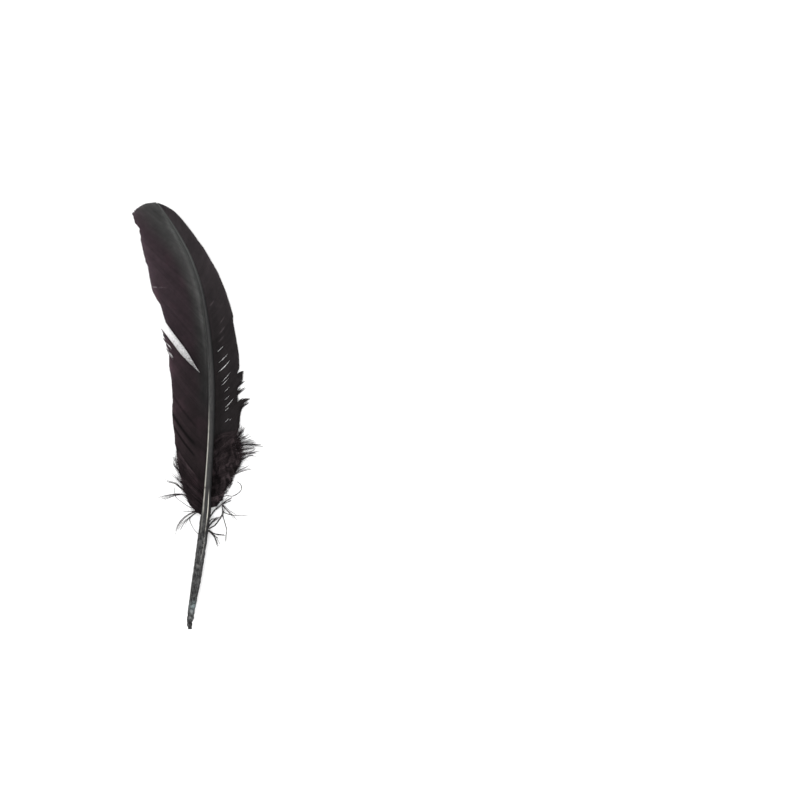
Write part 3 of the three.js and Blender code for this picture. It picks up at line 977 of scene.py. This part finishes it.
# %% The narrow vane's tone
NARROW_TONE = curve_through([(0, 1.05), (0.12, 0.9), (0.3, 0.7), (0.65, 0.66), (0.85, 0.78), (1, 1.05)])
# Each tick has a root, and a first and last share.
TICKS = [(191.5, 0.2, 0.45), (196, 0.26, 0.52), (201.5, 0.34, 0.58), (217.5, 0.1, 0.34)]
TICK_TONE = 2.2


def shade_narrow(roots, shares):
    """The narrow vane's tone: paler at the shaft, towards its rim and higher up, with pale ticks."""
    ticks = sum(
        np.exp(-(((roots - at) / 0.45) ** 2)) * ease((shares - first) / 0.08) * ease((last - shares) / 0.08)
        for at, first, last in TICKS
    )
    upper = 1 + 0.3 * ease((roots - 190) / 60) * ease(shares / 0.4)
    return NARROW_TONE(shares) * upper * (1 + TICK_TONE * ticks)


print(len(TICKS), "ticks")

# %% Lay the narrow vane
narrow_strands = Strands()
narrow_web = lay_web(
    narrow_strands, NARROW, NARROW_SPAN, NARROW_REACH, seed=23,
    push=part_narrow, bend=loosen, shade=shade_narrow,
)
first_loose = int((LOOSE_TIPS[0][0] - NARROW_SPAN[0]) / BARB_PITCH)
last_loose = int((LOOSE_TIPS[-1][0] - NARROW_SPAN[0]) / BARB_PITCH)
loose_ends = narrow_web[first_loose:last_loose, OUTER + 2:]
needles(narrow_strands, loose_ends, count=22, length=1.5, thickness=0.06, spread=0.4, seed=24, tone=0.7)
narrow_piece = show("narrow_vane_barbs", narrow_strands.mesh("narrow_vane_barbs"), "narrow_vane")
print(len(narrow_web), "barbs in the narrow vane")

# %% [markdown]
# ## The finish of the vanes
# Black dye on a brown feather looks purple-black in the open vane. A painted grey sheen lies beside the
# shaft and at the tip, with a painted highlight closest to the shaft, and painted shade darkens the angle
# between the shaft and each vane, most on the narrow vane where it leaves the shaft, as the shaft's shadow.
# Every barb took the dye a little differently, so each one's tone is an attribute. The hooks between barbs
# are far too many to model, and are left to a fine grain in the bump.


# %% Marks on a web, by distance up the feather and beside the shaft
def painted_sheen(up, beside, left):
    """The painted sheen of the wide vane: a band along the shaft that is widest at the tip."""
    band_width = 2.5 + (up - 150) * (up - 150) * 0.0012
    band = (beside / band_width).step(-1.1, -0.2) * left * up.step(150, 225)
    tip = up.step(262, 288) * beside.step(-18, -4) * beside.step(4, -1)
    return band * (0.8 + up.bump_at(266, 14) * 0.4) + tip * 0.12


def painted_shaft_highlight(up, beside, left):
    """A painted highlight: the palest line, just beside the shaft, with a glow round it near the tip."""
    line = beside.step(-5.5, -1.8) * up.step(115, 265) * 0.62
    glow = beside.step(-13, -5) * up.bump_at(272, 13) * 0.28
    return (line + glow) * left


def painted_shaft_shade(up, beside, left):
    """Painted shade in the angle between the shaft and each vane, with the shaft's shadow on the narrow
    one.
    """
    in_narrow = beside.step(10, 5) * beside.step(1.2, 4) * up.step(290, 180)
    in_wide = beside.step(-9, -5) * left * (up.step(195, 150) + up.step(118, 95) * 1.4)
    return in_narrow * 0.42 + in_wide * 0.16


# The grey sheen and the pale ridge are painted highlights, and the pooled dye is painted shade.
print("marks of a web: a grey sheen, a pale ridge and pooled dye")


# %% Vane
def dyed_web(name, wide_colours, narrow_colours, matted):
    """The finish of a web of barbs: each vane's colours at its low and high end, and how matted it is."""
    finish, start = new_finish(name)
    tone = start.attribute("tone")
    beside = start.attribute("beside")
    left = beside.step(0.6, -0.4)
    place = start.node("ShaderNodeTexCoord", output="Object")
    up = start.node("ShaderNodeSeparateXYZ", {}, {"Vector": place}, output="Y") / MM - ZERO[1]
    cloud = place.noise(75, 3)
    blotch = place.noise(420, 4, Roughness=0.6)
    grain = place.noise(5200, 2)
    high = up.step(105, 235)
    wide = high.mix(*[srgb(*colour) for colour in wide_colours])
    wide = (cloud.step(0.48, 0.68) * 0.35).mix(wide, srgb(64, 47, 54))
    plain = beside.step(-13, -5) * up.step(138, 160) * 0.85
    wide = plain.mix(wide, high.mix(srgb(38, 38, 38), srgb(50, 51, 50)))
    narrow = up.step(150, 250).mix(*[srgb(*colour) for colour in narrow_colours])
    dyed = beside.step(-0.5, 0.5).mix(wide, narrow)
    # Painted sheen: a grey band beside the shaft and at the tip, where the vane would catch the light.
    sheen = painted_sheen(up, beside, left)
    dyed = sheen.mix(dyed, srgb(74, 73, 73))
    # Painted highlight on the vane just beside the shaft.
    dyed = painted_shaft_highlight(up, beside, left).mix(dyed, srgb(100, 101, 100))
    dust = (up + beside * 0.08).bump_at(230, 0.35) * beside.step(-22, -26) * blotch.step(0.47, 0.56)
    dyed = (dust * 0.4).mix(dyed, srgb(150, 145, 148))
    upright = start.node("ShaderNodeMapping", {}, {"Vector": place, "Scale": (1.5, 0.7, 1)})
    tufts = upright.noise(230, 3, Distortion=1.2).step(0.34, 0.66)
    felt = (0.25 + beside.step(-1, 3) * 0.75) * up.step(136, 120) * matted
    patchy = (0.75 + cloud * 0.5) * (0.7 + blotch * 0.6) * (1 + (tufts * 1.9 - 0.85) * felt)
    # Painted shade: the angle by the shaft is darker, with the shaft's shadow on the narrow vane.
    shown = (tone * patchy * (1 - painted_shaft_shade(up, beside, left))).times(dyed)
    hooks = start.node("ShaderNodeBump", {}, {"Strength": 0.25, "Distance": 0.00005, "Height": grain})
    close_finish(start, {
        "Base Color": shown,
        "Roughness": 0.62 - sheen * 0.14 + grain * 0.08,
        "Specular IOR Level": 0.07,
        "Normal": hooks,
    })
    print(name, "has", len(finish.node_tree.nodes), "nodes")
    return finish


WIDE_DYE = ((43, 35, 37), (56, 46, 51))
NARROW_DYE = ((42, 38, 39), (53, 48, 50))
vane_finish = dyed_web("dyed_vane", WIDE_DYE, NARROW_DYE, matted=0.0)
for piece in (wide_piece, narrow_piece):
    piece.data.materials.append(vane_finish)

# %% [markdown]
# ## Down
# Down is made of the same barbs without hooks, and they hang together in small clumps. A barb leaves the
# shaft the way a barb of the vane does, and then curls out with its clump. Its direction turns a little
# at every step, from a first angle to a last one, so it is an arc. Each barb is a thin stem with needles.

# %% Grow a tuft
ARC_STEPS = 9
ARC_SHARES = np.linspace(0, 1, ARC_STEPS + 1)
DOWN_CLEAR = 0.4
DOWN_NEEDLE = 0.07


def grow_tuft(strands, vane, span, clumps, per_clump, reach, turn, stem, fuzz, along, seed):
    """Add clumps of downy barbs with roots in a span; reach and turn give the least and most of each.

    Fuzz gives the number of a barb's needles, their length and the angle at which they stand off.
    """
    rng = np.random.default_rng(seed)
    count = clumps * per_clump
    clump = np.repeat(np.arange(clumps), per_clump)
    middle = np.linspace(*span, clumps) + rng.normal(0, 1.0, clumps)
    roots = np.clip(middle[clump] + rng.normal(0, 1.2, count), span[0], span[1])
    ends, _ = barbs(vane, roots, np.tile([0.0, 1.0], (count, 1)))
    starts = ends[:, 0]
    chord = ends[:, 1] - starts
    size = np.linalg.norm(chord[:, :2], axis=-1) * rng.uniform(*reach, clumps)[clump]
    size = size * rng.uniform(0.8, 1.05, count)
    aim = np.arctan2(chord[:, 1], chord[:, 0])
    outwards = -vane["side"]
    curl = rng.uniform(*turn, clumps)[clump] + rng.normal(0, 0.12, count)
    first = aim - outwards * (0.4 * curl + rng.normal(0, 0.06, count))
    last = aim + outwards * curl
    angles = first[:, None] + (last - first)[:, None] * ARC_SHARES**1.3
    stride = np.stack([np.cos(angles), np.sin(angles)], -1) * (size / ARC_STEPS)[:, None, None]
    plane = starts[:, None, :2] + np.cumsum(stride, 1) - stride[:, :1]
    low = back_height(plane[..., 1]) + DOWN_CLEAR
    lift = (rng.uniform(0.2, 2.2, clumps)[clump] + rng.uniform(0, 0.6, count))[:, None]
    from_shaft = (starts[:, 2:] - low[:, :1]) * (1 - ARC_SHARES) ** 3
    heights = low + from_shaft + lift * np.sin(np.pi * np.minimum(ARC_SHARES * 1.15, 1) * 0.8)
    paths = np.concatenate([plane, heights[..., None]], -1)
    tone = (rng.uniform(0.4, 1.7, clumps)[clump] + rng.normal(0, 0.12, count)) * along(roots)
    stems(strands, paths, stem, slim=0.3, tone=tone)
    number, length, spread = fuzz
    needles(strands, paths, number, length, DOWN_NEEDLE, spread, seed + 1, tone)


print("a downy barb has", ARC_STEPS, "steps")

# %% [markdown]
# ## Under the clumps
# A tuft is dark inside, because its barbs lie there in many layers. Two webs of plain barbs, one shorter
# than the other, fill that place with far fewer faces. Noise that is read by root and share makes the
# barbs of a web differ in tone, and those of the right tuft wander and rise too, so that no row of even
# barbs shows.

# %% Clumps in a web
DOWN_LENGTH = 25  # about the length of a downy barb
CLUMPS = (3.0, 0.5)  # grain and layer of the noise, as in the next line
WANDERING = (5.5, 3.5)


def wool(roots, shares, grain, layer):
    """Smooth random values, by root and share, that change within some grain of millimetres."""
    at = np.vectorize(lambda root, reached: noise.noise(Vector((root / grain, reached / grain, layer))))
    return at(*np.broadcast_arrays(roots, DOWN_LENGTH * shares))


def clumped(along):
    """A function for how dark or pale the down is, along the shaft and in its clumps."""
    return lambda roots, shares: along(roots) * (1 + 1.5 * wool(roots, shares, *CLUMPS))


def wavy(roots, shares):
    """How far downy barbs wander aside."""
    inside = ease((roots - 84) / 5) * ease((120 - roots) / 8)
    return 3.2 * wool(roots, shares, *WANDERING) * ease(shares / 0.35) * inside


def heaped(roots, shares):
    """How far downy barbs rise in their clumps."""
    heap = 1.3 * np.maximum(0, wool(roots, shares, *CLUMPS) + 0.3)
    return heap * ease(shares / 0.3) * ease((1.1 - shares) / 0.4)


clump_tops = heaped(np.arange(85.0, 120.0), 0.5)
print("clumps rise up to", round(float(clump_tops.max()), 2), "mm halfway to the rim")

# %% The left tuft
LEFT_SPAN = (77, 98.5)
LEFT_CLUMPS = (77.5, 94)
LEFT_CORE = [(76, 0.88), (90, 0.92), (98, 0.98)]
LEFT_REACH = [(76, 1.0), (90, 1.08), (93, 1.05), (95, 0.97), (98, 0.95)]
LEFT_FRINGE = 34  # so many barbs, from the lowest up, have needles at their tips
LEFT_ALONG = curve_through([(77, 0.78), (86, 0.76), (91, 0.85), (95, 0.55), (98, 0.6)])

left_strands = Strands()
left_shade = clumped(LEFT_ALONG)
lay_web(left_strands, LEFT_TUFT, LEFT_SPAN, LEFT_CORE, seed=30, shade=left_shade)
left_web = lay_web(
    left_strands, LEFT_TUFT, LEFT_SPAN, LEFT_REACH, seed=31, shade=left_shade, tips=DOWN_TIPS,
)
left_ends = left_web[:LEFT_FRINGE, OUTER:]
needles(left_strands, left_ends, count=12, length=1.6, thickness=0.07, spread=0.35, seed=35, tone=0.8)
grow_tuft(
    left_strands, LEFT_TUFT, LEFT_CLUMPS, clumps=24, per_clump=5, reach=(0.9, 1.3), turn=(-0.12, 0.12),
    stem=0.2, fuzz=(60, 0.8, 0.22), along=LEFT_ALONG, seed=41,
)
print(left_strands.count, "points in the left tuft")

# %% The right tuft
RIGHT_CORE_SPAN = (83, 120.3)
RIGHT_SPAN = (83, 121)
RIGHT_CLUMPS = (83, 128)
RIGHT_REACH = [
    (83, 0.6), (84.4, 0.7), (86, 0.93), (88, 0.86), (88.6, 1.1), (89.8, 1.0), (91.8, 1.17),
    (94.3, 0.97), (94.8, 1.1), (96.3, 1.2), (98.8, 1.22), (99.8, 1.1), (101.7, 0.96), (103.5, 1.18),
    (106, 1.12), (108.1, 1.05), (112.9, 0.92), (117.5, 0.88), (120, 0.96),
]
CORE = 0.86
RIGHT_CORE = [(root, CORE * share) for root, share in RIGHT_REACH]
RIGHT_ALONG = curve_through([
    (83, 1.8), (89, 1.5), (96, 0.74), (102, 0.66), (109, 1.15), (115, 1.1), (121, 0.82),
])

right_strands = Strands()
right_shade = clumped(RIGHT_ALONG)
lay_web(
    right_strands, RIGHT_TUFT, RIGHT_CORE_SPAN, RIGHT_CORE, seed=33,
    push=wavy, shade=right_shade, tips=LOBED_TIPS,
)
right_web = lay_web(
    right_strands, RIGHT_TUFT, RIGHT_SPAN, RIGHT_REACH, seed=32,
    push=wavy, lift=heaped, shade=right_shade, tips=DOWN_TIPS,
)
right_ends = right_web[:, OUTER:]
needles(right_strands, right_ends, count=24, length=2.2, thickness=0.085, spread=0.8, seed=36, tone=0.7)
grow_tuft(
    right_strands, RIGHT_TUFT, RIGHT_CLUMPS, clumps=38, per_clump=6, reach=(0.45, 1.1), turn=(-0.5, 1.0),
    stem=0.15, fuzz=(104, 2.1, 0.55), along=RIGHT_ALONG, seed=42,
)
print(right_strands.count, "points in the right tuft")

# %% [markdown]
# ## Stray barbs
# Some long barbs have come out of the down and go their own ways: a curl, a fork, some bundles and some
# single hairs. Each is a smooth line through given points, with short barbules lying close to it.
# The number in front says how many hairs the bundle has. They fan out a little towards their tips, and the
# more there are, the thinner each one is.

# %% Where the strays run
LEFT_STRAYS = [
    (3, [(-13.6, 105.4), (-15.6, 108.8), (-17.4, 111.5), (-18.8, 114.2)]),
    (2, [(-14.3, 109.5), (-15.9, 113.8), (-17.8, 116.8)]),
    (2, [(-8.8, 96.3), (-11.9, 99.1), (-16.3, 103.0), (-20.7, 106.8)]),
    (2, [(-8.8, 94.8), (-12.2, 97.9), (-17.5, 103.0)]),
    (4, [(-9.5, 93.8), (-13.1, 96.2), (-17.0, 99.1), (-21.2, 100.4), (-25.0, 102.1)]),
    (3, [(-8.8, 92.1), (-12.4, 95.3), (-16.9, 99.8)]),
    (4, [
        (-6.8, 88.7), (-10.2, 90.6), (-13.1, 91.7), (-17.5, 91.7),
        (-21.6, 91.1), (-26.7, 89.8), (-31.8, 87.4),
    ]),
    (2, [(-12.5, 91.5), (-17.1, 91.0), (-22.2, 89.5), (-26.9, 87.9)]),
    (1, [
        (-0.7, 81.2), (-3.4, 82.1), (-6.8, 82.6), (-11.4, 85.5),
        (-16.5, 89.4), (-17.5, 92.8), (-17.8, 96.2),
    ]),
    (6, [(1.4, 79.8), (0.0, 80.0), (-3.4, 81.1), (-6.8, 81.5)]),
    (1, [(-0.3, 79.8), (-3.4, 80.0), (-8.0, 80.0), (-12.4, 80.0)]),
    (5, [
        (0.0, 80.2), (-3.4, 79.6), (-7.3, 78.1), (-11.4, 75.3),
        (-14.1, 71.9), (-16.1, 68.1), (-17.5, 63.4),
    ]),
    (4, [(0.3, 79.8), (-2.9, 78.9), (-6.8, 75.8), (-10.9, 72.1), (-14.1, 66.2)]),
    (1, [(0.0, 79.3), (-3.4, 78.7), (-7.1, 75.3), (-6.8, 72.4), (-4.6, 67.9), (-1.7, 64.5)]),
]
RIGHT_STRAYS = [
    (5, [(5.8, 74.5), (7.3, 77.0), (9.7, 80.4), (12.4, 82.6), (15.3, 85.0), (18.2, 87.2), (21.3, 88.9)]),
    (5, [(14.6, 84.6), (17.0, 82.1), (19.9, 79.2), (22.6, 76.6), (25.2, 73.4)]),
    (1, [(15.3, 79.6), (18.2, 78.2), (22.6, 77.2), (28.2, 77.1), (33.7, 76.6)]),
    (4, [
        (14.7, 84.7), (15.0, 81.6), (15.2, 77.5), (16.3, 73.0), (17.5, 68.5), (17.5, 63.9), (16.7, 57.1),
    ]),
    (9, [(5.2, 67.6), (7.5, 69.0), (10.2, 70.7), (13.6, 75.3), (15.3, 78.7), (15.2, 83.0)]),
    (5, [(5.3, 68.7), (7.1, 71.4), (9.9, 74.1), (13.3, 76.4)]),
    (1, [(5.8, 72.4), (7.8, 74.4), (10.5, 74.9)]),
    (6, [(4.4, 67.3), (6.0, 66.8), (9.7, 64.7), (13.6, 63.9), (17.5, 63.6)]),
    (6, [(4.5, 66.8), (6.8, 65.6), (9.7, 62.2), (10.9, 58.8), (11.7, 55.1)]),
    (1, [(6.5, 65.7), (9.1, 63.8), (11.9, 61.6)]),
    (1, [
        (12.9, 89.4), (15.8, 90.0), (18.2, 90.6), (22.1, 90.2), (26.0, 92.3), (28.1, 95.1), (27.5, 98.2),
        (24.7, 100.2),
    ]),
    (5, [(20.4, 104.0), (24.3, 105.7), (27.7, 107.4), (31.6, 108.8), (34.7, 109.8)]),
    (4, [(7.3, 85.4), (9.5, 84.2), (11.9, 85.0), (14.3, 87.4)]),
    (1, [(14.6, 85.2), (18.2, 87.3), (21.6, 89.3)]),
    (1, [(15.6, 85.0), (18.9, 86.4), (20.9, 87.2)]),
    (1, [(22.1, 90.2), (26.0, 92.4), (28.0, 95.1), (27.3, 98.3), (24.9, 100.1)]),
]
RIGHT_BRUSH = [
    (9, [(23.5, 127.8), (26.2, 131.4), (28.3, 134.2), (30.1, 136.7)]),
    (6, [(24.1, 127.2), (27.2, 130.3), (29.5, 132.6)]),
    (4, [(24.5, 125.1), (27.7, 127.6), (32.0, 129.9), (35.4, 131.6)]),
    (6, [(24.5, 124.1), (28.2, 126.1), (33.3, 126.9), (38.4, 127.2)]),
    (11, [(23.8, 123.4), (27.7, 124.6), (32.6, 125.4), (36.9, 124.8), (42.8, 123.8)]),
    (7, [(23.5, 120.0), (27.7, 121.7), (33.0, 122.5), (37.4, 123.4)]),
    (4, [(25.8, 118.3), (29.6, 119.7), (34.0, 120.4), (36.9, 122.2)]),
    (4, [(27.2, 117.6), (31.6, 119.0), (36.0, 120.0), (41.1, 120.8)]),
    (3, [(27.2, 114.9), (31.1, 116.3), (34.0, 117.6), (38.1, 117.1)]),
]
print(len(LEFT_STRAYS), "strays at the left,", len(RIGHT_STRAYS) + len(RIGHT_BRUSH), "at the right")

# %% Strays
STRAY_SHARES = np.linspace(0, 1, 17)
STRAY_CLEAR = 0.5
STRAY_LIFT = 1.4
STRAY_TONE = 0.5


def stray_paths(strays, fanning, seed):
    """Smooth paths through given points, one for each hair of a bundle, and the hairs' thickness."""
    rng = np.random.default_rng(seed)
    paths = []
    thickness = []
    for hairs, points in strays:
        points = np.array(points, float)
        knots = np.linspace(0, 1, len(points))
        for hair in range(hairs):
            run = STRAY_SHARES * (1 - 0.14 * rng.random() * (hair > 0))
            fan = rng.normal(0, fanning, 2) * (hair > 0)
            part = 0.25 + 1.1 * run**2
            x = curve_through(np.stack([knots, points[:, 0]], -1))(run) + fan[0] * part
            y = curve_through(np.stack([knots, points[:, 1]], -1))(run) + fan[1] * part
            z = back_height(y) + STRAY_CLEAR + STRAY_LIFT * np.sin(np.pi * (0.35 + 0.6 * run))
            paths.append(np.stack([x, y, z], -1))
            thickness.append(hairs**-0.5)
    return np.array(paths), np.array(thickness)


def add_strays(strands, strays, fanning, radius, count, fineness, seed):
    """Add stray barbs to strands, each with so many barbules of some fineness."""
    paths, thickness = stray_paths(strays, fanning, seed)
    stems(strands, paths, radius * thickness, slim=0.6, tone=STRAY_TONE)
    needles(strands, paths, count, length=1.6, thickness=fineness, spread=0.3, seed=seed, tone=STRAY_TONE)


add_strays(left_strands, LEFT_STRAYS, fanning=0.8, radius=0.32, count=80, fineness=0.055, seed=51)
add_strays(right_strands, RIGHT_STRAYS, fanning=0.7, radius=0.36, count=70, fineness=0.055, seed=52)
add_strays(right_strands, RIGHT_BRUSH, fanning=1.0, radius=0.32, count=80, fineness=0.045, seed=53)
left_piece = show("left_down_barbs", left_strands.mesh("left_down_barbs"), "left_down")
right_piece = show("right_down_barbs", right_strands.mesh("right_down_barbs"), "right_down")

# %% [markdown]
# ## The finish of the down
# Down carries on the colour of the vanes without a seam, but it has no sheen, and light that goes in
# between its barbules hardly comes out. So it is the finish of the vanes once more, with paler colours of
# its own to make up for that, and with dark and pale patches where it is matted.

# %% Down
DOWN_WIDE_DYE = ((64, 54, 57), (64, 54, 57))
DOWN_NARROW_DYE = ((58, 50, 52), (58, 50, 52))
down_finish = dyed_web("dyed_down", DOWN_WIDE_DYE, DOWN_NARROW_DYE, matted=0.75)
for piece in (left_piece, right_piece):
    piece.data.materials.append(down_finish)

# %% [markdown]
# ## Measure and finish
# The dressed feather has to be as large as its solids. Both boxes are written down side by side.

# %% Compare the two boxes
dressed_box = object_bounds()
for label, (low, high) in (("solids", solid_box), ("dressed", dressed_box)):
    print(label, [round(c / MM, 1) for c in low], "to", [round(c / MM, 1) for c in high])
